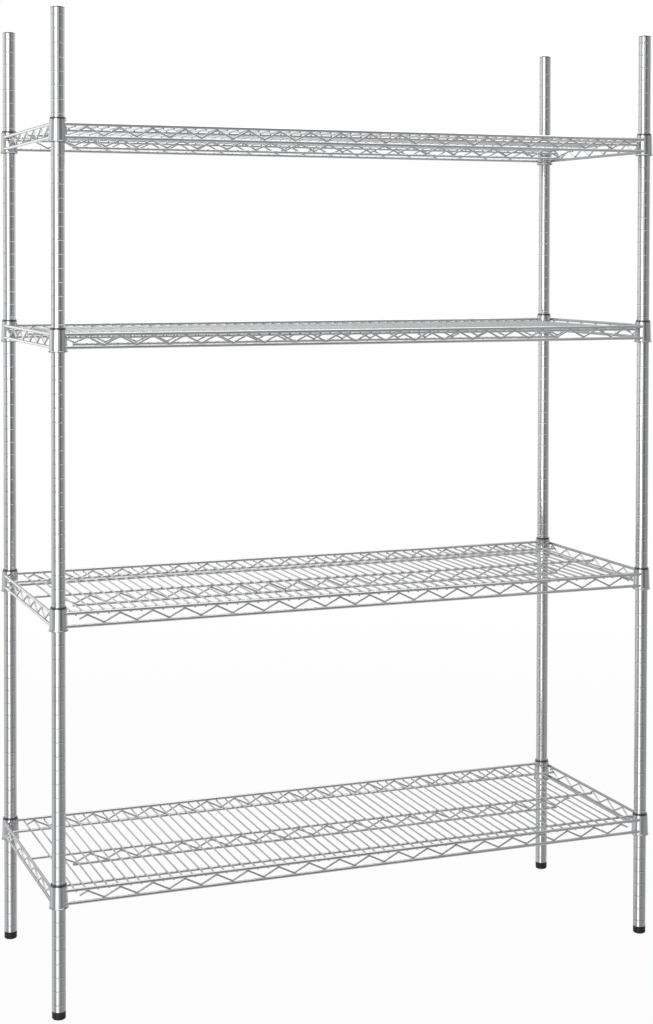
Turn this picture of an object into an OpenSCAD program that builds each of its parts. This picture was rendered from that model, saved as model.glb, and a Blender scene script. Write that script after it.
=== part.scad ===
// Wire shelving unit: four grooved posts on levelling feet carry four welded wire shelves.
// Each shelf ends in four tapered collars, which wedge on split sleeves clipped to the posts.
// Millimetres, +Z up. The origin is on the floor under the middle of the unit, the front is -Y.

/* [Posts] */
// Outside diameter of a post
post_d = 25.4; // [24:0.1:28]
// Wall thickness of a post
post_wall = 1.2; // [1:0.1:2]
// Length of a post
post_h = 1828.8; // [1760:0.1:2200]
// Distance between the post axes, left to right
span_x = 1220; // [900:1:1500]
// Distance between the post axes, front to back
span_y = 429; // [360:1:600]

/* [Post grooves] */
// Distance from one groove to the next
groove_pitch = 25.4; // [25:0.1:26]
// Height of the lowest groove above the lower end of the post
groove_first = 12.5; // [8:0.1:16]
// Width of a groove at the surface of the post
groove_w = 2.4; // [2:0.1:3]
// Width of a groove at its floor
groove_floor_w = 1.2; // [1:0.1:1.6]
// Depth of a groove
groove_depth = 0.5; // [0.4:0.05:0.7]

/* [Shelf levels] */
// Groove that carries the lowest shelf
groove_1 = 8; // [4:1:14]
// Groove that carries the second shelf
groove_2 = 28; // [20:1:38]
// Groove that carries the third shelf
groove_3 = 48; // [44:1:54]
// Groove that carries the top shelf
groove_4 = 63; // [60:1:66]

/* [Sleeves] */
// Height of a sleeve
sleeve_h = 40; // [36:0.5:44]
// Height of the sleeve rim that shows above the collar
sleeve_rim_h = 4; // [2:0.5:6]
// Outside diameter of a sleeve at its rim
sleeve_top_d = 29; // [28.8:0.1:30]
// Outside diameter of a sleeve at its lower edge
sleeve_bottom_d = 31.4; // [31:0.1:33]
// Height of the inner rib above the lower edge of the sleeve
sleeve_rib_up = 21; // [16:0.5:26]
// Length of the tab that locks one half of a sleeve into the other
sleeve_tab_l = 3; // [2:0.1:4]
// Height of that tab
sleeve_tab_h = 9; // [6:0.5:12]
// Thickness of that tab
sleeve_tab_t = 0.8; // [0.6:0.1:1]

/* [Collars] */
// Height of a collar
collar_h = 41; // [38:0.5:44]
// Wall thickness of a collar
collar_wall = 1; // [0.8:0.1:1.6]
// Diameter of the rolled lip along the lower edge of a collar
collar_lip_d = 2.2; // [1.8:0.1:3]

/* [Wires] */
// Diameter of the straight wires of the edge rails
rail_wire_d = 6; // [5:0.1:7]
// Diameter of the bent wire inside every truss
bent_wire_d = 3.5; // [3:0.1:4]
// Diameter of the wires under the deck that run left to right
bearer_wire_d = 5; // [4:0.1:6]
// Diameter of the deck wires
deck_wire_d = 3.2; // [2.5:0.1:4]
// Distance from one deck wire to the next
deck_pitch = 20.7; // [15:0.1:30]

/* [Trusses] */
// Distance from one peak of a bent wire to the next
bend_pitch = 62.1; // [50:0.1:80]
// Radius of the bends, at the middle of the wire
bend_r = 5; // [4:0.1:5.2]
// How much the wire swells in its bends, on the radius
bend_swell = 0.03; // [0.02:0.01:0.05]
// Distance between the two straight wires of an edge rail
rail_gap = 23.7; // [21:0.1:27]
// Distance between the two straight wires of the centre truss
centre_gap = 21.5; // [19:0.1:25]
// Depth of the top wire of an edge rail below the top of the collar
rail_drop = 8.5; // [7:0.1:12]
// Distance of an edge rail outside the post axes
rail_out = 11; // [8:0.1:12]
// Length of the free end of the bent wire in a front or rear rail
long_tail = 14; // [5:0.5:18]
// Length of the free end of the bent wire in a left or right rail
side_tail = 5; // [1:0.5:7]
// Length of the free end of the bent wire in the centre truss
centre_tail = 3; // [1:0.5:6]
// Distance of the two bearer wires inside the post axes
bearer_in = 40.5; // [34:0.5:60]

/* [Post caps] */
// Height of a cap above the post
cap_dome_h = 3; // [2:0.1:6]
// Height of the straight edge of a cap
cap_edge_h = 0.9; // [0.5:0.1:1.5]
// Length of the plug of a cap
cap_plug_h = 14; // [8:0.5:20]
// Wall thickness of the plug
cap_plug_wall = 1.6; // [1.2:0.1:2.5]

/* [Levelling feet] */
// Height of a foot below the post
foot_h = 14.8; // [10:0.1:20]
// Radius of the lower edge of a foot
foot_edge_r = 3; // [1:0.1:4]
// Diameter of the stem of a foot
stem_d = 9.5; // [8:0.1:10.5]
// Length of the stem above the foot
stem_h = 35; // [30:0.5:45]
// Depth of the stem in the foot
stem_root = 9; // [6:0.5:9.5]
// Diameter of the hexagonal head of the stem, inside the foot
stem_head_d = 15; // [13:0.1:17]
// Height of that head
stem_head_h = 4; // [3:0.1:5]
// Length of the insert in the post that the stem screws into
insert_h = 22; // [16:0.5:26]

/* [Clearances] */
// Between a post and the sleeve on it
sleeve_fit = 0.1; // [0.05:0.01:0.15]
// Between a sleeve and the collar on it
wedge_fit = 0.2; // [0.15:0.01:0.3]
// Between the two halves of a sleeve
seam_fit = 0.2; // [0.1:0.01:0.3]
// Between a cap or an insert and the inside of the post
plug_fit = 0.1; // [0.05:0.01:0.2]
// Between the stem of a foot and its insert
stem_fit = 0.25; // [0.15:0.01:0.35]
// Between a foot and the post above it
foot_gap = 0.2; // [0.1:0.05:0.4]
// Between two pieces that are welded or moulded together
weld_gap = 0.05; // [0.02:0.01:0.1]
// Between the end of a wire and the bent wire that it stops at
end_gap = 0.3; // [0.2:0.05:0.5]

/* [Hidden] */
$fn = 96;

// A corner is its name and the sides of the unit that it is on
CORNERS = [
    ["front_left", -1, -1],
    ["front_right", 1, -1],
    ["rear_left", -1, 1],
    ["rear_right", 1, 1]
];
GROOVES = [groove_1, groove_2, groove_3, groove_4];
SHELVES = [0 : len(GROOVES) - 1];
CORNER_PARTS = ["post", "cap", "foot", "stem"];
SHELF_PARTS = [
    "front_rail", "rear_rail", "left_rail", "right_rail", "centre_truss",
    "bearer_wires", "deck_wires", "collars", "front_sleeve_halves", "rear_sleeve_halves"
];

post_r = post_d / 2;
post_bore_r = post_r - post_wall;
post_base = foot_h + foot_gap;
// The last groove keeps this much of the post above it
groove_last_margin = 6;
groove_count = floor((post_h - groove_first - groove_last_margin) / groove_pitch) + 1;

// Heights inside a shelf are measured from the top of its collars
sleeve_top = sleeve_rim_h;
sleeve_bottom = sleeve_top - sleeve_h;
rib_level = sleeve_bottom + sleeve_rib_up;
sleeve_bore_r = post_r + sleeve_fit;
sleeve_taper = (sleeve_bottom_d - sleeve_top_d) / 2 / sleeve_h;
sleeve_edge = 0.6;

// The bent wires start this far from the post axes, or further
bend_margin = 24;
// A leg runs this far into the thicker bend at each end
leg_lap = 0.2;
rail_r = rail_wire_d / 2;
bent_r = bent_wire_d / 2;
bearer_r = bearer_wire_d / 2;
deck_r = deck_wire_d / 2;
long_rail_y = span_y / 2 + rail_out;
side_rail_x = span_x / 2 + rail_out;
long_peaks = floor((span_x / 2 - bend_margin) / bend_pitch);
side_peaks = floor((span_y / 2 - bend_margin) / bend_pitch);
deck_count = floor((span_x / 2 - bend_margin) / deck_pitch);

// Deck wires stop at the bent wire and tuck under the round of the rail's top wire
deck_tuck = bent_r + end_gap;
deck_end = long_rail_y - deck_tuck;
deck_level = -rail_drop - sqrt(pow(rail_r + weld_gap, 2) - pow(deck_tuck, 2)) - deck_r;
bearer_level = deck_level - deck_r - weld_gap - bearer_r;
bearer_y = span_y / 2 - bearer_in;
// Bearers stop at the bent wires of the left and right rails
bearer_end = side_rail_x - bent_r - end_gap;
// The lower wire of the centre truss ends past the last valley of its bent wire
centre_low_over = 4;
centre_low_end = (long_peaks - 0.5) * bend_pitch + centre_low_over;

// The lip of a collar is a round bead, which past this angle runs straight into the wall
lip_blend = 50;
lip_r = collar_lip_d / 2;
lip_z = lip_r - collar_h;
lip_x = collar_r(lip_z) - collar_wall + lip_r;
lip_top = lip_z + lip_r * sin(lip_blend) + (lip_r * (1 + cos(lip_blend)) - collar_wall) / tan(lip_blend);

cap_barb = 0.5;
cap_barb_h = 2;
stem_chamfer = 1;
foot_chamfer = 0.5;
// The tab of a sleeve half is rooted this deep in its own half
sleeve_tab_root = 1;
// A hole is cut from this far outside what it goes through
cut_over = 1;

// Steps in which the round profiles are drawn
edge_steps = 6;
lip_steps = 10;
dome_steps = 8;

// Height of the top of a shelf's collars above the floor
function shelf_z(s) = post_base + groove_first + GROOVES[s] * groove_pitch - rib_level;

// Outside radius of a sleeve at a height below the top of the collar
function sleeve_r(z) = sleeve_top_d / 2 + (sleeve_top - z) * sleeve_taper;

// Outside radius of a collar at a height
function collar_r(z) = sleeve_r(z) + wedge_fit + collar_wall;

// Points of an arc around [x, y] from angle a to angle b
function arc(x, y, r, a, b, steps) =
    [for (i = [0 : steps]) let (t = a + (b - a) * i / steps) [x + r * cos(t), y + r * sin(t)]];

// Height of a bent wire between two straight wires that it touches
function bent_height(gap, wire_r) = gap - 2 * (wire_r + weld_gap + bent_r);

// Distance between the centres of a peak's bend and the next valley's bend
function bend_apart(height) = sqrt(pow(bend_pitch / 2, 2) + pow(height - 2 * bend_r, 2));

// Slope of a leg, which is tangent to both bends
function leg_slope(height) =
    asin(2 * bend_r / bend_apart(height)) + atan2(height - 2 * bend_r, bend_pitch / 2);

// Length of a leg between its bends
function leg_length(height) = sqrt(pow(bend_apart(height), 2) - pow(2 * bend_r, 2));

module at_corner(c) {
    translate([c[1] * span_x / 2, c[2] * span_y / 2, 0]) children();
}

module at_corners() {
    for (c = CORNERS) at_corner(c) children();
}

module at_shelf(s) {
    translate([0, 0, shelf_z(s)]) children();
}

// Round wire along X from -half to half
module wire_x(d, half) {
    translate([-half, 0, 0]) rotate([0, 90, 0]) cylinder(d = d, h = 2 * half);
}

// Leg or free end of a bent wire from a point in the XZ plane, at an angle above +X
module leg(from, angle, length) {
    translate([from[0], 0, from[1]]) rotate([0, 90 - angle, 0]) translate([0, 0, -leg_lap])
        cylinder(d = bent_wire_d, h = length + leg_lap);
}

// Bend around a centre in the XZ plane. up is 1 for a peak and -1 for a valley
module bend(centre, up, slope) {
    translate([centre[0], 0, centre[1]])
        rotate([90, 0, 0])
            rotate([0, 0, up * 90 - slope])
                rotate_extrude(angle = 2 * slope) translate([bend_r, 0]) circle(r = bent_r + bend_swell);
}

// Bent wire along X, centred on a peak, with a free end past the last peak on each side
module bent_wire(peaks, height, tail) {
    slope = leg_slope(height);
    run = leg_length(height);
    rise = height / 2 - bend_r;
    side = bend_r * sin(slope);
    lift = bend_r * cos(slope);
    for (k = [-peaks : peaks]) bend([k * bend_pitch, rise], 1, slope);
    for (k = [-peaks : peaks - 1]) {
        valley = (k + 0.5) * bend_pitch;
        bend([valley, -rise], -1, slope);
        leg([k * bend_pitch + side, rise + lift], -slope, run + leg_lap);
        leg([valley + side, -rise - lift], slope, run + leg_lap);
    }
    leg([peaks * bend_pitch + side, rise + lift], -slope, tail);
    leg([-peaks * bend_pitch - side, rise + lift], 180 + slope, tail);
}

// Two straight wires along X, the upper one at z = 0
module wire_pair(d, gap, top_half, low_half) {
    wire_x(d, top_half);
    translate([0, 0, -gap]) wire_x(d, low_half);
}

// Bent wire between such a pair of straight wires
module bent_between(wire_d, gap, peaks, tail) {
    translate([0, 0, -gap / 2]) bent_wire(peaks, bent_height(gap, wire_d / 2), tail);
}

// Space of the collars and their lips, which every rail wire ends at. It reaches a wire's width
// above and below the collars
module collar_space() {
    low = -collar_h - rail_wire_d;
    high = rail_wire_d;
    at_corners() translate([0, 0, low]) {
        cylinder(r1 = collar_r(low) + weld_gap, r2 = collar_r(high) + weld_gap, h = high - low);
        cylinder(r = lip_x + lip_r + weld_gap, h = lip_top + weld_gap - low);
    }
}

// Edge rail, whose straight wires end at the collars. It runs along X, turned about Z, at a place
module edge_rail(place, turn, half, peaks, tail) {
    at = [place[0], place[1], -rail_drop];
    difference() {
        translate(at) rotate([0, 0, turn]) wire_pair(rail_wire_d, rail_gap, half, half);
        collar_space();
    }
    translate(at) rotate([0, 0, turn]) bent_between(rail_wire_d, rail_gap, peaks, tail);
}

module post() {
    color("silver") translate([0, 0, post_base]) rotate_extrude() polygon(concat(
        [[post_bore_r, 0], [post_r, 0]],
        [for (k = [0 : groove_count - 1]) let (z = groove_first + k * groove_pitch) each [
            [post_r, z - groove_w / 2],
            [post_r - groove_depth, z - groove_floor_w / 2],
            [post_r - groove_depth, z + groove_floor_w / 2],
            [post_r, z + groove_w / 2]
        ]],
        [[post_r, post_h], [post_bore_r, post_h]]
    ));
}

module post_cap() {
    plug_r = post_bore_r - plug_fit - cap_barb;
    rise = cap_dome_h - cap_edge_h;
    dome_r = (pow(post_r, 2) + pow(rise, 2)) / (2 * rise);
    dome_angle = asin(post_r / dome_r);
    color("dimgray") translate([0, 0, post_base + post_h]) rotate_extrude() polygon(concat(
        [[0, 0], [plug_r - cap_plug_wall, 0], [plug_r - cap_plug_wall, -cap_plug_h], [plug_r, -cap_plug_h]],
        [for (z = [-cap_plug_h + cap_barb_h : 2 * cap_barb_h : -2 * cap_barb_h]) each [
            [plug_r, z], [plug_r + cap_barb, z + cap_barb_h], [plug_r, z + cap_barb_h]
        ]],
        [[plug_r, 0], [post_r, 0]],
        arc(0, cap_dome_h - dome_r, dome_r, 90 - dome_angle, 90, dome_steps)
    ));
}

module stem_insert() {
    color("gray") translate([0, 0, post_base]) difference() {
        cylinder(r = post_bore_r - plug_fit, h = insert_h);
        translate([0, 0, -cut_over]) cylinder(d = stem_d + 2 * stem_fit, h = insert_h + 2 * cut_over);
    }
}

module foot() {
    head_low = foot_h - stem_root - stem_head_h / 2;
    color([0.1, 0.1, 0.1]) difference() {
        rotate_extrude() polygon(concat(
            [[0, 0]],
            arc(post_r - foot_edge_r, foot_edge_r, foot_edge_r, -90, 0, edge_steps),
            [[post_r, foot_h - foot_chamfer], [post_r - foot_chamfer, foot_h], [0, foot_h]]
        ));
        translate([0, 0, head_low - weld_gap])
            cylinder(d = stem_head_d + 2 * weld_gap, h = stem_head_h + 2 * weld_gap, $fn = 6);
        translate([0, 0, head_low]) cylinder(d = stem_d + 2 * weld_gap, h = foot_h);
    }
}

module stem() {
    head_low = foot_h - stem_root - stem_head_h / 2;
    shank = foot_h + stem_h - stem_chamfer;
    color("gray") {
        translate([0, 0, head_low]) cylinder(d = stem_head_d, h = stem_head_h, $fn = 6);
        translate([0, 0, head_low]) cylinder(d = stem_d, h = shank - head_low);
        translate([0, 0, shank]) cylinder(d1 = stem_d, d2 = stem_d - 2 * stem_chamfer, h = stem_chamfer);
    }
}

// One half of a sleeve, on the +Y side: a tab at +X, and at -X the notch for the other half's tab
module sleeve_half() {
    tab_in = sleeve_bore_r + (sleeve_r(rib_level) - sleeve_bore_r - sleeve_tab_t) / 2;
    rib_tip = post_r - groove_depth + sleeve_fit;
    difference() {
        union() {
            intersection() {
                rotate_extrude() polygon([
                    [sleeve_bore_r, sleeve_bottom],
                    [sleeve_r(sleeve_bottom), sleeve_bottom],
                    [sleeve_r(sleeve_top - sleeve_edge), sleeve_top - sleeve_edge],
                    [sleeve_r(sleeve_top) - sleeve_edge, sleeve_top],
                    [sleeve_bore_r, sleeve_top],
                    [sleeve_bore_r, rib_level + groove_w / 2 - sleeve_fit],
                    [rib_tip, rib_level + groove_floor_w / 2 - sleeve_fit],
                    [rib_tip, rib_level - groove_floor_w / 2 + sleeve_fit],
                    [sleeve_bore_r, rib_level - groove_w / 2 + sleeve_fit]
                ]);
                translate([-sleeve_bottom_d, seam_fit / 2, sleeve_bottom])
                    cube([2 * sleeve_bottom_d, sleeve_bottom_d, sleeve_h]);
            }
            translate([tab_in, -sleeve_tab_l, rib_level - sleeve_tab_h / 2])
                cube([sleeve_tab_t, sleeve_tab_l + sleeve_tab_root, sleeve_tab_h]);
        }
        translate([
            -tab_in - sleeve_tab_t - seam_fit, 0, rib_level - sleeve_tab_h / 2 - seam_fit
        ]) cube([sleeve_tab_t + 2 * seam_fit, sleeve_tab_l + seam_fit, sleeve_tab_h + 2 * seam_fit]);
    }
}

module sleeve_halves(turn) {
    color([0.12, 0.12, 0.12]) at_corners() rotate([0, 0, turn]) sleeve_half();
}

module collars() {
    color("silver") at_corners() rotate_extrude() polygon(concat(
        [[sleeve_r(0) + wedge_fit, 0], [sleeve_r(lip_z) + wedge_fit, lip_z]],
        arc(lip_x, lip_z, lip_r, 180, 360 + lip_blend, lip_steps),
        [[collar_r(lip_top), lip_top], [collar_r(0), 0]]
    ));
}

// Front or rear rail. side is -1 for the front and 1 for the rear
module long_rail(side) {
    color("silver") edge_rail([0, side * long_rail_y], 0, span_x / 2, long_peaks, long_tail);
}

// Left or right rail. side is -1 for the left and 1 for the right
module side_rail(side) {
    color("silver") edge_rail([side * side_rail_x, 0], 90, span_y / 2, side_peaks, side_tail);
}

module centre_truss() {
    color("silver") translate([0, 0, bearer_level]) {
        wire_pair(bearer_wire_d, centre_gap, bearer_end, centre_low_end);
        bent_between(bearer_wire_d, centre_gap, long_peaks, centre_tail);
    }
}

module bearer_wires() {
    color("silver") for (side = [-1, 1])
        translate([0, side * bearer_y, bearer_level]) wire_x(bearer_wire_d, bearer_end);
}

module deck_wires() {
    color("gainsboro") for (k = [-deck_count : deck_count])
        translate([k * deck_pitch, 0, deck_level]) rotate([0, 0, 90]) wire_x(deck_wire_d, deck_end);
}

for (c = CORNERS) {
    at_corner(c) post();
    at_corner(c) post_cap();
    at_corner(c) foot();
    at_corner(c) stem();
}
at_corners() stem_insert();  // stem_inserts
for (s = SHELVES) {
    at_shelf(s) long_rail(-1);
    at_shelf(s) long_rail(1);
    at_shelf(s) side_rail(-1);
    at_shelf(s) side_rail(1);
    at_shelf(s) centre_truss();
    at_shelf(s) bearer_wires();
    at_shelf(s) deck_wires();
    at_shelf(s) collars();
    at_shelf(s) sleeve_halves(180);
    at_shelf(s) sleeve_halves(0);
}
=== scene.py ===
"""Looks of a free-standing wire shelving unit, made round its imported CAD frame."""
import math

import bpy
from bpy.props import FloatProperty, FloatVectorProperty, PointerProperty
from mathutils import Matrix, Quaternion, Vector


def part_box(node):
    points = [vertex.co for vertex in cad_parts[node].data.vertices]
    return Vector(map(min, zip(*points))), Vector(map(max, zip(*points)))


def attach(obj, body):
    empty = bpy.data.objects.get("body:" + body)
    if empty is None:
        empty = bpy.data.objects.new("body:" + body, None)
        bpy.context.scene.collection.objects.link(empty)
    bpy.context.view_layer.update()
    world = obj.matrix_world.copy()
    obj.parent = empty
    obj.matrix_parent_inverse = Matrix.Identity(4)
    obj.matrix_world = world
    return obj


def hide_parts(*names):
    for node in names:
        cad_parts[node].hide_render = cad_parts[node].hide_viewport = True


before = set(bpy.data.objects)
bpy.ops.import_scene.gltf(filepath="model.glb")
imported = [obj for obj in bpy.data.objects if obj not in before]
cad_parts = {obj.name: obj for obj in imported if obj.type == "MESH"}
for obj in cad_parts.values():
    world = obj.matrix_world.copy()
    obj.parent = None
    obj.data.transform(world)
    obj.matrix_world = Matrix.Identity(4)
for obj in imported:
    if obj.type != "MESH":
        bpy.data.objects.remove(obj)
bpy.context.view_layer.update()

bl_info = {
    "name": "Wire Shelving Unit",
    "version": (1, 0, 0),
    "blender": (4, 5, 0),
    "location": "View3D > Sidebar > Shelving",
    "description": "Chrome, plastic, threads and welds for a wire shelving unit, with its studio and camera",
    "category": "Add Mesh",
}

CORNERS = ("front_left", "front_right", "rear_left", "rear_right")
SHELVES = (1, 2, 3, 4)
RAILS = ("front_rail", "rear_rail", "left_rail", "right_rail", "centre_truss", "bearer_wires")
WHITE = (1.0, 1.0, 1.0, 1.0)

# Wires in metres: radii, one full turn of a bent wire, and the least gap between two deck wires
RAIL_R = 0.003
BEARER_R = 0.0025
BEND_PITCH = 0.0621
WIRE_APART = 0.01

# Trusses in the order of their welds, as (name, axis that it runs along, radius of its straight wires)
TRUSSES = (
    ("front_rail", "x", RAIL_R),
    ("rear_rail", "x", RAIL_R),
    ("centre_truss", "x", BEARER_R),
    ("left_rail", "y", RAIL_R),
    ("right_rail", "y", RAIL_R),
)

# Collars in metres: radius at the top, how much it grows per metre down, and the sleeve's rim above
COLLAR_TOP_R = 0.01582
COLLAR_TAPER = 0.03
SLEEVE_RIM_H = 0.004

# Painted shade at the lip of a collar, over the bright line its bead reflects: where it ends, as two shares
# of the collar's height, and how dark it is
LIP_SHADE_END = (0.06, 0.1)
LIP_PAINTED_SHADE = 0.35

# Grooves of the posts in metres: height of one above the floor, distance to the next, and width
GROOVE_LOW = 0.0275
GROOVE_PITCH = 0.0254
GROOVE_W = 0.0024

# Painted shade in the grooves of a post: where it ends, as two shares of half the groove's width, and how
# dark it is
GROOVE_SHADE_END = (0.8, 1.2)
GROOVE_PAINTED_SHADE = 0.2

# Levelling stem in metres: its thread, and the hexagonal head inside the foot
STEM_R = 0.00475
THREAD_PITCH = 0.0016
THREAD_DEPTH = 0.0008
STEM_HEAD_H = 0.004
STEM_SIDES = 48
ROWS_PER_TURN = 6

# Share of the thread's pitch that is flat at the crest, and again at the root
THREAD_FLAT = 0.2

# Weld beads in metres: radius and height of the round ones, and thickness of those round a wire's end
BEND_BEAD = 0.0016
DECK_BEAD = 0.0014
BEAD_H = 0.0006
COLLAR_BEAD = 0.0008

# Drawing lines in the chrome are stretched along Z on posts, X on rails and Y on deck wires
POST_GRAIN = (1.0, 1.0, 0.02)
RAIL_GRAIN = (0.05, 1.0, 1.0)
DECK_GRAIN = (1.0, 0.05, 1.0)
EVEN_GRAIN = (1.0, 1.0, 1.0)

# Depth of the chrome's unevenness, in metres
POST_RIPPLE = 0.00003
WIRE_RIPPLE = 0.00004
COLLAR_RIPPLE = 0.00005
WELD_RIPPLE = 0.00012

# Chrome: fineness of its lines, clouds and specks per metre, and the parts of the noises that show in
# its tone and as specks
LINES = 900.0
CLOUDS = 14.0
SPECKS = 420.0
TONE_SPAN = (0.25, 0.75)
SPECK_SPAN = (0.66, 0.74)

# Chrome: its darkest and lightest shades, the tone of the painted shade laid in grooves and at lips, the
# least and most that clouds make of its blur, what specks add to it, and the strength of its bump
CHROME_SHADES = (0.9, 1.06)
PAINTED_SHADE_TONE = 0.2
CLOUD_BLUR = (0.7, 1.3)
SPECK_BLUR = 0.08
CHROME_BUMP = 0.35

# Plastics as (blur of their reflections, depth of their pebbles in metres, index of refraction)
SLEEVE_SKIN = (0.06, 0.00001, 1.8)
FOOT_SKIN = (0.38, 0.00005, 1.35)
CAP_SKIN = (0.5, 0.00004, 1.08)

# Plastic: fineness of its pebbles, mottle and scuffs per metre, the part of the scuffs' noise that shows
# and how they are stretched
PEBBLES = 2600.0
MOTTLE = 60.0
SCUFFS = 160.0
SCUFF_SPAN = (0.58, 0.72)
SCUFF_GRAIN = (1.0, 1.0, 4.0)

# Plastic: its darkest and lightest shades, what mottle and scuffs add to its blur, and its bump
PLASTIC_SHADES = (0.85, 1.5)
MOTTLE_BLUR = 0.1
SCUFF_BLUR = 0.15
PLASTIC_BUMP = 0.4

# Zinc: fineness of its bloom and grain per metre, depth of the grain in metres, and its bump
BLOOM = 220.0
ZINC_GRAIN = 1800.0
ZINC_RIPPLE = 0.00004
ZINC_BUMP = 0.3

# Zinc: colour of the bloom, shade and blur of the plate, and what the bloom adds to its blur
BLOOM_COLOUR = (0.66, 0.68, 0.74, 1.0)
ZINC_SHADE = 0.8
ZINC_BLUR = 0.28
BLOOM_BLUR = 0.2

# The photograph's frame and the camera fitted to it, in pixels, metres and degrees
PHOTO_W, PHOTO_H = 653, 1024
CAMERA_PLACE = (-1.382, -3.522, 1.402)
CAMERA_YAW = -21.09
CAMERA_PITCH = -1.43
CAMERA_ROLL = 0.12
FOCAL_PX = 1855.7
CENTRE_PX = (317.1, 299.2)

# Softboxes at the front left and overhead: place, point that they face, and width and height in metres,
# and the lean of the first in degrees
KEY_PLACE = (-2.2, -2.25, 1.25)
KEY_TARGET = (-0.3, 0.0, 1.25)
KEY_SIZE = (1.65, 2.6)
KEY_LEAN = 14.0
TOP_PLACE = (0.0, 0.6, 3.6)
TOP_TARGET = (0.0, 0.0, 0.9)
TOP_SIZE = (3.6, 3.0)

# Floor: half its width and the distances between which it turns white, in metres, and its share of
# white within the first
FLOOR_HALF = 30.0
FLOOR_FADE = (1.0, 4.0)
FLOOR_WHITE = 0.94

# Board on the floor that only reflections see: half its width and its height in metres, its tones from
# above and from aside, how grazing the view is where they change, and the share and blur of its polish
BOARD_HALF = 7.5
BOARD_H = 0.001
BOARD_ABOVE = 0.85
BOARD_ASIDE = 0.52
BOARD_TURN = (0.1, 0.5)
POLISH = 0.8
POLISH_BLUR = 0.15

# Grey and white cards that only reflections see, as (name, first end, last end, low, high, strength):
# the ends are places on the floor, low and high are heights, all in metres
CARDS = (
    ("dark_card", (-0.3, -3.6), (1.6, -3.0), 0.0, 2.9, 0.26),
    ("grey_card", (1.6, -3.0), (3.4, -0.2), 0.0, 2.9, 0.5),
    ("side_light", (-11.0, 3.0), (-7.6, 9.3), 0.0, 9.0, 1.35),
    ("rear_card", (-7.4, 9.5), (-4.7, 11.0), 0.0, 9.0, 0.5),
    ("rear_light", (-4.4, 12.2), (-0.5, 13.0), 0.0, 9.0, 1.5),
    ("rear_sky", (-2.5, 11.0), (7.0, 11.0), 3.2, 12.0, 0.58),
    ("key_flank", (-3.5, -1.25), (-1.05, -3.6), 0.0, 2.7, 0.6),
    ("side_card", (-3.4, -0.1), (-3.5, -1.25), 0.0, 2.7, 0.62),
    ("key_foot", (-1.56, -2.77), (-1.3, -2.98), 0.0, 0.9, 2.2),
)


# Shader sockets with arithmetic

class Value:
    """An output socket. Arithmetic on it adds Math nodes to its tree."""

    def __init__(self, tree, socket):
        self.tree = tree
        self.socket = socket

    def _math(self, operation, *values, clamp=False):
        settings = {"operation": operation, "use_clamp": clamp}
        return self.tree.node("ShaderNodeMath", settings, dict(enumerate(values)))

    def __add__(self, other):
        return self._math("ADD", self, other)

    def __sub__(self, other):
        return self._math("SUBTRACT", self, other)

    def __rsub__(self, other):
        return self._math("SUBTRACT", other, self)

    def __mul__(self, other):
        return self._math("MULTIPLY", self, other)

    def __truediv__(self, other):
        return self._math("DIVIDE", self, other)

    __radd__ = __add__
    __rmul__ = __mul__

    def clamped(self):
        return self._math("ADD", self, 0.0, clamp=True)

    def most(self, other):
        return self._math("MAXIMUM", self, other)

    def fraction(self):
        return self._math("FRACT", self)

    def absolute(self):
        return self._math("ABSOLUTE", self)

    def step(self, low, high):
        """0 below low and 1 above high, smooth between."""
        return self.tree.node(
            "ShaderNodeMapRange", {"interpolation_type": "SMOOTHSTEP"},
            {"Value": self, "From Min": low, "From Max": high},
        )


class Tree:
    """A node tree. node() adds any node and gives one of its outputs as a Value."""

    def __init__(self, tree):
        self.tree = tree
        tree.nodes.clear()

    def node(self, kind, settings=None, sockets=None, output=0):
        made = self.tree.nodes.new(kind)
        for name, value in (settings or {}).items():
            setattr(made, name, value)
        for name, value in (sockets or {}).items():
            if isinstance(value, Value):
                self.tree.links.new(value.socket, made.inputs[name])
            else:
                made.inputs[name].default_value = value
        return Value(self, made.outputs[output]) if len(made.outputs) else None

    def place(self, kind="Object"):
        """A place on the surface, in metres for Object and as shares of the mesh's box for Generated."""
        return self.node("ShaderNodeTexCoord", output=kind)

    def height(self, place):
        return self.node("ShaderNodeSeparateXYZ", {}, {0: place}, output="Z")

    def noise(self, place, scale, detail=3.0):
        return self.node(
            "ShaderNodeTexNoise", {},
            {"Vector": place, "Scale": scale, "Detail": detail, "Roughness": 0.55},
        )

    def bump(self, strength, depth, height):
        return self.node("ShaderNodeBump", {}, {"Strength": strength, "Distance": depth, "Height": height})

    def stretched(self, place, factors):
        return self.node("ShaderNodeVectorMath", {"operation": "MULTIPLY"}, {0: place, 1: factors})

    def mixed(self, factor, first, second):
        """A colour between the first, at 0, and the second, at 1."""
        return self.node(
            "ShaderNodeMix", {"data_type": "RGBA"}, {"Factor": factor, 6: first, 7: second}, output=2
        )

    def show(self, surface, kind="ShaderNodeOutputMaterial"):
        """Ends the tree in its output."""
        self.node(kind, {}, {"Surface": surface})


def new_material(name):
    material = bpy.data.materials.new(name)
    material.use_nodes = True
    return material, Tree(material.node_tree)


def rgba(colour, shade=1.0):
    return (*[c * shade for c in colour], 1.0)


# Finishes

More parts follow.
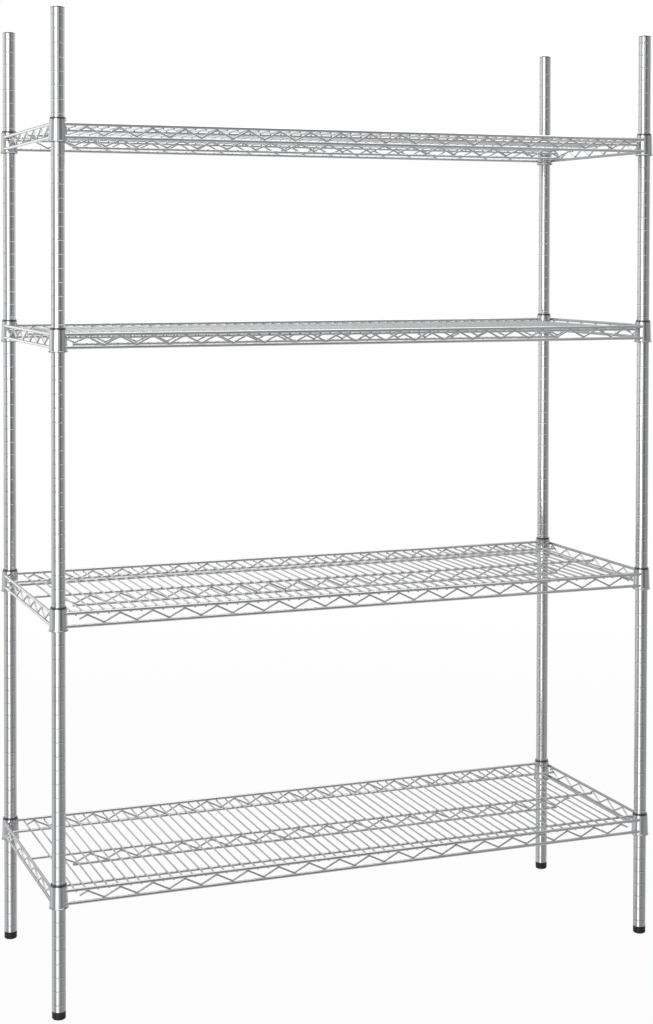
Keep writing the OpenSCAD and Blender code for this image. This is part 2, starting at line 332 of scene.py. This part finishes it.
def chrome(name, colour, roughness, grain, ripple, painted_shade=None):
    """Plated steel. grain stretches the drawing lines, ripple is the depth of the plate's unevenness.
    The last argument takes the tree and gives how much shade is painted on the plate, from 0 to 1."""
    material, tree = new_material(name)
    place = tree.place()
    lines = tree.noise(tree.stretched(place, grain), LINES, 2.0)
    cloud = tree.noise(place, CLOUDS)
    specks = tree.noise(place, SPECKS, 1.0).step(*SPECK_SPAN)
    tone = (cloud * 0.5 + lines * 0.5).step(*TONE_SPAN)
    dark, light = CHROME_SHADES
    base = tree.mixed(tone, rgba(colour, dark), rgba(colour, light))
    # Painted shade: where the mask asks for it, the base colour darkens towards a fifth of itself.
    if painted_shade:
        base = tree.mixed(painted_shade(tree), base, rgba(colour, PAINTED_SHADE_TONE))
    least, most = CLOUD_BLUR
    tree.show(tree.node("ShaderNodeBsdfPrincipled", {}, {
        "Base Color": base,
        "Metallic": 1.0,
        "Roughness": roughness * (cloud * (most - least) + least) + specks * SPECK_BLUR,
        "Normal": tree.bump(CHROME_BUMP, ripple, lines * 0.6 + cloud * 0.4),
    }))
    return material


def painted_groove_shade(tree):
    """Painted shade in the grooves of a post, laid into the plate's colour."""
    turns = (tree.height(tree.place()) - GROOVE_LOW) / GROOVE_PITCH
    off = ((turns + 0.5).fraction() - 0.5).absolute()
    half = GROOVE_W / GROOVE_PITCH / 2
    return (1.0 - off.step(*[half * share for share in GROOVE_SHADE_END])) * GROOVE_PAINTED_SHADE


def painted_lip_shade(tree):
    """Painted shade at the lip of a collar, laid into the plate's colour over a reflected bright line."""
    return (1.0 - tree.height(tree.place("Generated")).step(*LIP_SHADE_END)) * LIP_PAINTED_SHADE


def plastic(name, colour, roughness, pebble, ior):
    """Moulded plastic with a fine pebbled skin and dull scuffs."""
    material, tree = new_material(name)
    place = tree.place()
    skin = tree.noise(place, PEBBLES, 2.0)
    scuffs = tree.noise(tree.stretched(place, SCUFF_GRAIN), SCUFFS).step(*SCUFF_SPAN)
    mottle = tree.noise(place, MOTTLE)
    dark, light = PLASTIC_SHADES
    tree.show(tree.node("ShaderNodeBsdfPrincipled", {}, {
        "Base Color": tree.mixed(mottle * 0.6 + scuffs * 0.4, rgba(colour, dark), rgba(colour, light)),
        "Roughness": (scuffs * SCUFF_BLUR + mottle * MOTTLE_BLUR + roughness).clamped(),
        "IOR": ior,
        "Normal": tree.bump(PLASTIC_BUMP, pebble, skin),
    }))
    return material


def zinc(name, colour):
    """Zinc plate with a mottled, slightly blue bloom."""
    material, tree = new_material(name)
    place = tree.place()
    bloom = tree.noise(place, BLOOM)
    fine = tree.noise(place, ZINC_GRAIN, 2.0)
    tree.show(tree.node("ShaderNodeBsdfPrincipled", {}, {
        "Base Color": tree.mixed(bloom, rgba(colour, ZINC_SHADE), BLOOM_COLOUR),
        "Metallic": 1.0,
        "Roughness": ZINC_BLUR + bloom * BLOOM_BLUR,
        "Normal": tree.bump(ZINC_BUMP, ZINC_RIPPLE, fine),
    }))
    return material


def finish_nodes(names, material):
    """Gives CAD nodes a finish; their shapes stay as packed."""
    for name in names:
        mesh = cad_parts[name].data
        mesh.materials.clear()
        mesh.materials.append(material)


# Pieces

def add_piece(name, mesh, material, body):
    """Adds a new piece that rides on a body of the frame."""
    mesh.materials.append(material)
    for polygon in mesh.polygons:
        polygon.use_smooth = True
    piece = bpy.data.objects.new(name, mesh)
    bpy.context.scene.collection.objects.link(piece)
    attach(piece, body)
    return piece


class Shape:
    """Points and faces of a mesh that is put together from closed forms."""

    def __init__(self):
        self.points = []
        self.faces = []

    def add(self, points, faces):
        first = len(self.points)
        self.points.extend(points)
        self.faces.extend(tuple(first + i for i in face) for face in faces)

    def mesh(self, name):
        mesh = bpy.data.meshes.new(name)
        mesh.from_pydata(self.points, [], self.faces)
        return mesh


def ring_stack(rings):
    """A closed form round the Z axis, from (height, radii) rings with as many radii each."""
    count = len(rings[0][1])
    points = []
    for height, radii in rings:
        for i, radius in enumerate(radii):
            angle = 2.0 * math.pi * i / count
            points.append(Vector((radius * math.cos(angle), radius * math.sin(angle), height)))
    faces = [tuple(reversed(range(count)))]
    for row in range(len(rings) - 1):
        for i in range(count):
            a, b = row * count + i, row * count + (i + 1) % count
            faces.append((a, b, b + count, a + count))
    faces.append(tuple(range((len(rings) - 1) * count, len(rings) * count)))
    return points, faces


def ball():
    """A unit ball with small flat poles."""
    sides = 8
    tilts = [math.radians(degrees) for degrees in (-65, -25, 25, 65)]
    return ring_stack([(math.sin(tilt), [math.cos(tilt)] * sides) for tilt in tilts])


def ring(radius, thickness):
    """A round wire bent to a ring round the Z axis."""
    rounds = 16
    sides = 6
    points = []
    for i in range(rounds):
        around = 2.0 * math.pi * i / rounds
        for j in range(sides):
            angle = 2.0 * math.pi * j / sides
            reach = radius + thickness * math.cos(angle)
            height = thickness * math.sin(angle)
            points.append(Vector((reach * math.cos(around), reach * math.sin(around), height)))
    faces = []
    for i in range(rounds):
        for j in range(sides):
            a, b = i * sides, (i + 1) % rounds * sides
            k = (j + 1) % sides
            faces.append((a + j, b + j, b + k, a + k))
    return points, faces


def thread_radius(height, angle):
    """Radius of a 60 degree thread with flat crests and roots."""
    phase = (height / THREAD_PITCH - angle / (2.0 * math.pi)) % 1.0
    wave = abs(2.0 * phase - 1.0)
    cut = (1.0 - THREAD_FLAT - wave) / (1.0 - 2 * THREAD_FLAT)
    return STEM_R - THREAD_DEPTH * min(max(cut, 0.0), 1.0)


def stem_rings(low, high, foot_top):
    """Rings of a stem: its head, a plain shank up to the top of the foot, and its thread."""
    angles = [2.0 * math.pi * i / STEM_SIDES for i in range(STEM_SIDES)]
    head_r = (high.x - low.x) / 2
    half_side = math.pi / 6
    hexagon = [head_r * math.cos(half_side) / math.cos(a % (2 * half_side) - half_side) for a in angles]
    shank = [STEM_R - THREAD_DEPTH / 2] * STEM_SIDES
    head_top = low.z + STEM_HEAD_H
    rings = [(low.z, hexagon), (head_top, hexagon), (head_top, shank), (foot_top, shank)]
    step = THREAD_PITCH / ROWS_PER_TURN
    for row in range(1, int((high.z - foot_top) / step)):
        height = foot_top + row * step
        tip = STEM_R - max(height - high.z + THREAD_PITCH, 0.0)
        rings.append((height, [min(thread_radius(height, a), tip) for a in angles]))
    rings.append((high.z, [min(STEM_R - THREAD_PITCH, r) for r in rings[-1][1]]))
    return rings


def make_stem(corner, material):
    """A levelling stem with its thread, in place of the plain one."""
    low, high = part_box(f"stem_{corner}")
    foot_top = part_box(f"foot_{corner}")[1].z
    axis = Vector(((low.x + high.x) / 2, (low.y + high.y) / 2, 0.0))
    points, faces = ring_stack(stem_rings(low, high, foot_top))
    shape = Shape()
    shape.add([point + axis for point in points], faces)
    name = f"threaded_stem_{corner}"
    stem = add_piece(name, shape.mesh(name), material, f"leveller_{corner}")
    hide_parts(f"stem_{corner}")


def wire_places(node):
    """Middle of each wire of a deck along X."""
    places = sorted(v.co.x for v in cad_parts[node].data.vertices)
    wires = [[places[0]]]
    for place in places[1:]:
        if place - wires[-1][0] > WIRE_APART:
            wires.append([])
        wires[-1].append(place)
    return [(wire[0] + wire[-1]) / 2 for wire in wires]


def bend_welds(node, along, wire_r):
    """Where a bent wire touches the straight wires of its truss: (place, normal)."""
    low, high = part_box(node)
    middle = (low + high) / 2
    across = "y" if along == "x" else "x"
    half = (getattr(high, along) - getattr(low, along)) / 2
    peaks = int(half / BEND_PITCH)
    heights = (high.z - 2 * wire_r, low.z + 2 * wire_r)
    welds = []
    for k in range(-2 * peaks, 2 * peaks + 1):
        place = Vector((0.0, 0.0, heights[k % 2]))
        setattr(place, across, getattr(middle, across))
        setattr(place, along, k * BEND_PITCH / 2)
        welds.append((place, Vector((0.0, 0.0, 1.0))))
    return welds


def deck_welds(shelf):
    """Where the deck wires touch the rails, the bearers and the centre truss: (place, normal)."""
    deck_low, deck_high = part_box(f"deck_wires_{shelf}")
    bearer_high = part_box(f"bearer_wires_{shelf}")[1]
    rows = [
        (side * (bearer_high.y - BEARER_R), deck_low.z, Vector((0.0, 0.0, 1.0))) for side in (-1, 0, 1)
    ]
    rail_low, rail_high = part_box(f"rear_rail_{shelf}")
    tuck = Vector((0.0, deck_high.y - (rail_low.y + rail_high.y) / 2, deck_high.z - rail_high.z + RAIL_R))
    rows.append((deck_high.y, deck_high.z, tuck.normalized()))
    rows.append((-deck_high.y, deck_high.z, Vector((0.0, -tuck.y, tuck.z)).normalized()))
    return [(Vector((x, y, z)), normal) for x in wire_places(f"deck_wires_{shelf}") for y, z, normal in rows]


def collar_welds(shelf):
    """Where the rail wires end at the collars: (place, outward direction)."""
    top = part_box(f"front_sleeve_halves_{shelf}")[1].z - SLEEVE_RIM_H
    welds = []
    for corner in CORNERS:
        low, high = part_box(f"post_{corner}")
        post = (low + high) / 2
        sides = (math.copysign(1.0, post.x), math.copysign(1.0, post.y))
        for rail, across in (("rear_rail", 1), ("right_rail", 0)):
            rail_low, rail_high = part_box(f"{rail}_{shelf}")
            out = (rail_low[across] + rail_high[across]) / 2 - abs(post[across])
            for height in (rail_low.z + RAIL_R, rail_high.z - RAIL_R):
                radius = COLLAR_TOP_R + (top - height) * COLLAR_TAPER
                way = Vector((0.0, 0.0, 0.0))
                way[across] = sides[across] * out
                way[1 - across] = -sides[1 - across] * math.sqrt(radius ** 2 - out ** 2)
                welds.append((Vector((post.x, post.y, height)) + way, way.normalized()))
    return welds


def add_bead(shape, form, place, normal, size):
    """Adds a form at a place, with its Z axis along the normal."""
    turn = normal.to_track_quat("Z", "X").to_matrix() @ Matrix.Diagonal(size)
    shape.add([place + turn @ point for point in form[0]], form[1])


def make_welds(shelf, material):
    """All weld beads of a shelf, as one piece."""
    shape = Shape()
    round_bead = ball()
    end_bead = ring(RAIL_R, COLLAR_BEAD)
    for rail, along, wire_r in TRUSSES:
        for place, normal in bend_welds(f"{rail}_{shelf}", along, wire_r):
            add_bead(shape, round_bead, place, normal, (BEND_BEAD, BEND_BEAD, BEAD_H))
    for place, normal in deck_welds(shelf):
        add_bead(shape, round_bead, place, normal, (DECK_BEAD, DECK_BEAD, BEAD_H))
    for place, normal in collar_welds(shelf):
        add_bead(shape, end_bead, place, normal, (1.0, 1.0, 1.0))
    name = f"welds_{shelf}"
    add_piece(name, shape.mesh(name), material, f"shelf_{shelf}")


# Stage

def background_rays(tree):
    """1 for rays that see the background as it is: from the camera, metal or glass."""
    seen = tree.node("ShaderNodeLightPath", output="Is Camera Ray")
    for kind in ("Is Glossy Ray", "Is Transmission Ray"):
        seen = seen.most(tree.node("ShaderNodeLightPath", output=kind))
    return seen


def white_light(tree, kind, strength):
    """White light of a kind of node, an Emission or a Background."""
    return tree.node(kind, {}, {"Color": WHITE, "Strength": strength})


def make_plane(name, corners, only_reflected=False):
    """A sheet of the stage with a material of its own. Gives the material's tree."""
    mesh = bpy.data.meshes.new(name)
    mesh.from_pydata(corners, [], [(0, 1, 2, 3)])
    plane = bpy.data.objects.new(name, mesh)
    bpy.context.scene.collection.objects.link(plane)
    if only_reflected:
        for ray in ("camera", "diffuse", "transmission", "volume_scatter", "shadow"):
            setattr(plane, f"visible_{ray}", False)
    material, tree = new_material(name)
    mesh.materials.append(material)
    return tree


def level_square(half, height):
    """Corners of a level square round the unit."""
    return [(-half, -half, height), (half, -half, height), (half, half, height), (-half, half, height)]


def make_floor(studio):
    """A pale matte floor that fades into the white background with distance."""
    tree = make_plane("floor", level_square(FLOOR_HALF, 0.0))
    matte = tree.node("ShaderNodeBsdfDiffuse", {}, {"Color": rgba(studio.floor_colour)})
    white = white_light(tree, "ShaderNodeEmission", 1.0)
    distance = tree.node("ShaderNodeVectorMath", {"operation": "LENGTH"}, {0: tree.place()}, output="Value")
    share = FLOOR_WHITE + distance.step(*FLOOR_FADE) * (1.0 - FLOOR_WHITE)
    tree.show(tree.node("ShaderNodeMixShader", {}, {0: background_rays(tree) * share, 1: matte, 2: white}))


def make_world(studio):
    """Even light from all round, which is white where it is seen."""
    world = bpy.data.worlds.new("studio_world")
    world.use_nodes = True
    bpy.context.scene.world = world
    tree = Tree(world.node_tree)
    light = white_light(tree, "ShaderNodeBackground", studio.ambient)
    shown = white_light(tree, "ShaderNodeBackground", 1.0)
    both = tree.node("ShaderNodeMixShader", {}, {0: background_rays(tree), 1: light, 2: shown})
    tree.show(both, "ShaderNodeOutputWorld")


def make_softbox(name, place, target, size, strength, lean=0.0):
    """A lamp that reads as its strength in a mirror, turned by its lean in degrees."""
    lamp = bpy.data.lights.new(name, "AREA")
    lamp.shape = "RECTANGLE"
    lamp.size, lamp.size_y = size
    lamp.energy = strength * math.pi * size[0] * size[1]
    holder = bpy.data.objects.new(name, lamp)
    holder.location = place
    facing = (Vector(target) - Vector(place)).to_track_quat("-Z", "Y")
    holder.rotation_euler = (facing @ Quaternion((0.0, 0.0, 1.0), math.radians(lean))).to_euler()
    holder.visible_camera = False
    bpy.context.scene.collection.objects.link(holder)


def make_lamps(studio):
    make_softbox("key_softbox", KEY_PLACE, KEY_TARGET, KEY_SIZE, studio.key_strength, KEY_LEAN)
    make_softbox("top_softbox", TOP_PLACE, TOP_TARGET, TOP_SIZE, studio.top_strength)


def make_cards():
    """Cards round the unit."""
    for name, first, last, low, high, strength in CARDS:
        corners = [(*first, low), (*last, low), (*last, high), (*first, high)]
        tree = make_plane(name, corners, only_reflected=True)
        tree.show(white_light(tree, "ShaderNodeEmission", strength))


def make_board():
    """A polished board under the unit, darker and more of a mirror from aside."""
    tree = make_plane("floor_board", level_square(BOARD_HALF, BOARD_H), only_reflected=True)
    above = white_light(tree, "ShaderNodeEmission", BOARD_ABOVE)
    aside = white_light(tree, "ShaderNodeEmission", BOARD_ASIDE)
    polish = tree.node("ShaderNodeBsdfGlossy", {}, {"Color": WHITE, "Roughness": POLISH_BLUR})
    grazing = tree.node("ShaderNodeLayerWeight", {}, {"Blend": 0.5}, output="Facing")
    tone = tree.node("ShaderNodeMixShader", {}, {0: grazing.step(*BOARD_TURN), 1: above, 2: aside})
    tree.show(tree.node("ShaderNodeMixShader", {}, {0: grazing * POLISH, 1: tone, 2: polish}))


def make_camera():
    """The camera that took the photograph, as it was fitted to the posts and collars."""
    camera = bpy.data.cameras.new("camera")
    camera.sensor_width = 36.0
    camera.lens = camera.sensor_width * FOCAL_PX / PHOTO_H
    camera.shift_x = (PHOTO_W / 2 - CENTRE_PX[0]) / PHOTO_H
    camera.shift_y = (CENTRE_PX[1] - PHOTO_H / 2) / PHOTO_H
    camera.clip_end = 100.0
    holder = bpy.data.objects.new("camera", camera)
    turn = Matrix.Rotation(math.radians(CAMERA_YAW), 4, "Z")
    tilt = Matrix.Rotation(math.radians(90.0 + CAMERA_PITCH), 4, "X")
    roll = Matrix.Rotation(math.radians(CAMERA_ROLL), 4, "Z")
    holder.matrix_world = Matrix.Translation(CAMERA_PLACE) @ turn @ tilt @ roll
    bpy.context.scene.collection.objects.link(holder)
    bpy.context.scene.camera = holder


# Settings

class ShelvingFinish(bpy.types.PropertyGroup):
    """Colours and gloss of the unit."""

    post_colour: FloatVectorProperty(
        name="Post chrome", description="Colour of the chrome on the posts",
        subtype="COLOR", size=3, min=0.0, max=1.0, default=(0.52, 0.524, 0.532),
    )
    wire_colour: FloatVectorProperty(
        name="Wire chrome", description="Colour of the chrome on the rails, bearers, collars and welds",
        subtype="COLOR", size=3, min=0.0, max=1.0, default=(0.5, 0.504, 0.512),
    )
    deck_colour: FloatVectorProperty(
        name="Deck chrome", description="Colour of the chrome on the deck wires",
        subtype="COLOR", size=3, min=0.0, max=1.0, default=(0.56, 0.564, 0.57),
    )
    plastic_colour: FloatVectorProperty(
        name="Black plastic", description="Colour of the sleeves and the feet",
        subtype="COLOR", size=3, min=0.0, max=1.0, default=(0.012, 0.012, 0.013),
    )
    cap_colour: FloatVectorProperty(
        name="Cap plastic", description="Colour of the caps on the posts",
        subtype="COLOR", size=3, min=0.0, max=1.0, default=(0.016, 0.016, 0.018),
    )
    zinc_colour: FloatVectorProperty(
        name="Zinc", description="Colour of the stems and their inserts",
        subtype="COLOR", size=3, min=0.0, max=1.0, default=(0.5, 0.51, 0.52),
    )
    chrome_roughness: FloatProperty(
        name="Chrome roughness", description="Blur of the reflections in the chrome",
        subtype="FACTOR", min=0.02, max=0.6, default=0.12,
    )


class ShelvingStudio(bpy.types.PropertyGroup):
    """Light round the unit."""

    ambient: FloatProperty(
        name="Ambient", description="Strength of the even light from all round",
        min=0.0, max=2.0, default=0.35,
    )
    key_strength: FloatProperty(
        name="Key strength", description="Brightness of the softbox at the front left, where white is 1",
        min=0.0, max=5.0, default=3.4,
    )
    top_strength: FloatProperty(
        name="Top strength", description="Brightness of the softbox overhead, where white is 1",
        min=0.0, max=5.0, default=2.0,
    )
    floor_colour: FloatVectorProperty(
        name="Floor", description="Colour of the floor",
        subtype="COLOR", size=3, min=0.0, max=1.0, default=(0.9, 0.9, 0.9),
    )


# Operators

class SHELVING_OT_metal(bpy.types.Operator):
    """Plate the posts, rails, bearers, deck wires and collars with chrome"""

    bl_idname = "shelving.metal"
    bl_label = "Chrome"

    def execute(self, context):
        look = context.scene.shelving_finish
        blur = look.chrome_roughness
        # The posts' chrome carries painted shade in its grooves.
        post = chrome("post_chrome", look.post_colour, blur, POST_GRAIN, POST_RIPPLE, painted_groove_shade)
        wire = chrome("wire_chrome", look.wire_colour, blur, RAIL_GRAIN, WIRE_RIPPLE)
        deck = chrome("deck_chrome", look.deck_colour, blur, DECK_GRAIN, WIRE_RIPPLE)
        # The collars' chrome carries painted shade at the lip.
        collar = chrome("collar_chrome", look.wire_colour, blur, EVEN_GRAIN, COLLAR_RIPPLE, painted_lip_shade)
        finish_nodes([f"post_{c}" for c in CORNERS], post)
        finish_nodes([f"{rail}_{s}" for rail in RAILS for s in SHELVES], wire)
        finish_nodes([f"deck_wires_{s}" for s in SHELVES], deck)
        finish_nodes([f"collars_{s}" for s in SHELVES], collar)
        return {"FINISHED"}


class SHELVING_OT_plastic(bpy.types.Operator):
    """Give the sleeves, feet and caps their moulded plastic"""

    bl_idname = "shelving.plastic"
    bl_label = "Plastic"

    def execute(self, context):
        look = context.scene.shelving_finish
        sleeve = plastic("sleeve_plastic", look.plastic_colour, *SLEEVE_SKIN)
        foot = plastic("foot_plastic", look.plastic_colour, *FOOT_SKIN)
        cap = plastic("cap_plastic", look.cap_colour, *CAP_SKIN)
        finish_nodes([f"{side}_sleeve_halves_{s}" for side in ("front", "rear") for s in SHELVES], sleeve)
        finish_nodes([f"foot_{c}" for c in CORNERS], foot)
        finish_nodes([f"cap_{c}" for c in CORNERS], cap)
        return {"FINISHED"}


class SHELVING_OT_stems(bpy.types.Operator):
    """Model the threaded levelling stems, and plate them and their inserts with zinc"""

    bl_idname = "shelving.stems"
    bl_label = "Levelling stems"

    def execute(self, context):
        look = context.scene.shelving_finish
        plate = zinc("zinc_plate", look.zinc_colour)
        finish_nodes(["stem_inserts"], plate)
        for corner in CORNERS:
            make_stem(corner, plate)
        return {"FINISHED"}


class SHELVING_OT_welds(bpy.types.Operator):
    """Add the weld beads that join the wires and collars of each shelf"""

    bl_idname = "shelving.welds"
    bl_label = "Welds"

    def execute(self, context):
        look = context.scene.shelving_finish
        blur = look.chrome_roughness * 2.0
        bead = chrome("weld_chrome", look.wire_colour, blur, EVEN_GRAIN, WELD_RIPPLE)
        for shelf in SHELVES:
            make_welds(shelf, bead)
        return {"FINISHED"}


class SHELVING_OT_stage(bpy.types.Operator):
    """Set the floor, the studio light and the camera"""

    bl_idname = "shelving.stage"
    bl_label = "Stage"

    def execute(self, context):
        studio = context.scene.shelving_studio
        make_floor(studio)
        make_world(studio)
        make_lamps(studio)
        make_cards()
        make_board()
        make_camera()
        context.scene.view_settings.view_transform = "Standard"
        return {"FINISHED"}


# Panel and registration

STEPS = (SHELVING_OT_metal, SHELVING_OT_plastic, SHELVING_OT_stems, SHELVING_OT_welds, SHELVING_OT_stage)


class SHELVING_PT_panel(bpy.types.Panel):
    """Steps that dress the shelving unit."""

    bl_idname = "SHELVING_PT_panel"
    bl_label = "Wire Shelving Unit"
    bl_space_type = "VIEW_3D"
    bl_region_type = "UI"
    bl_category = "Shelving"

    def draw(self, context):
        layout = self.layout
        for group in (context.scene.shelving_finish, context.scene.shelving_studio):
            box = layout.box()
            for name in group.__annotations__:
                box.prop(group, name)
        for step in STEPS:
            layout.operator(step.bl_idname)


CLASSES = (ShelvingFinish, ShelvingStudio, *STEPS, SHELVING_PT_panel)


def register():
    for cls in CLASSES:
        bpy.utils.register_class(cls)
    bpy.types.Scene.shelving_finish = PointerProperty(type=ShelvingFinish)
    bpy.types.Scene.shelving_studio = PointerProperty(type=ShelvingStudio)


def unregister():
    del bpy.types.Scene.shelving_studio
    del bpy.types.Scene.shelving_finish
    for cls in reversed(CLASSES):
        bpy.utils.unregister_class(cls)


def main():
    """Dresses the unit step by step."""
    register()
    for step in STEPS:
        group, name = step.bl_idname.split(".")
        getattr(getattr(bpy.ops, group), name)()


if __name__ == "__main__":
    main()
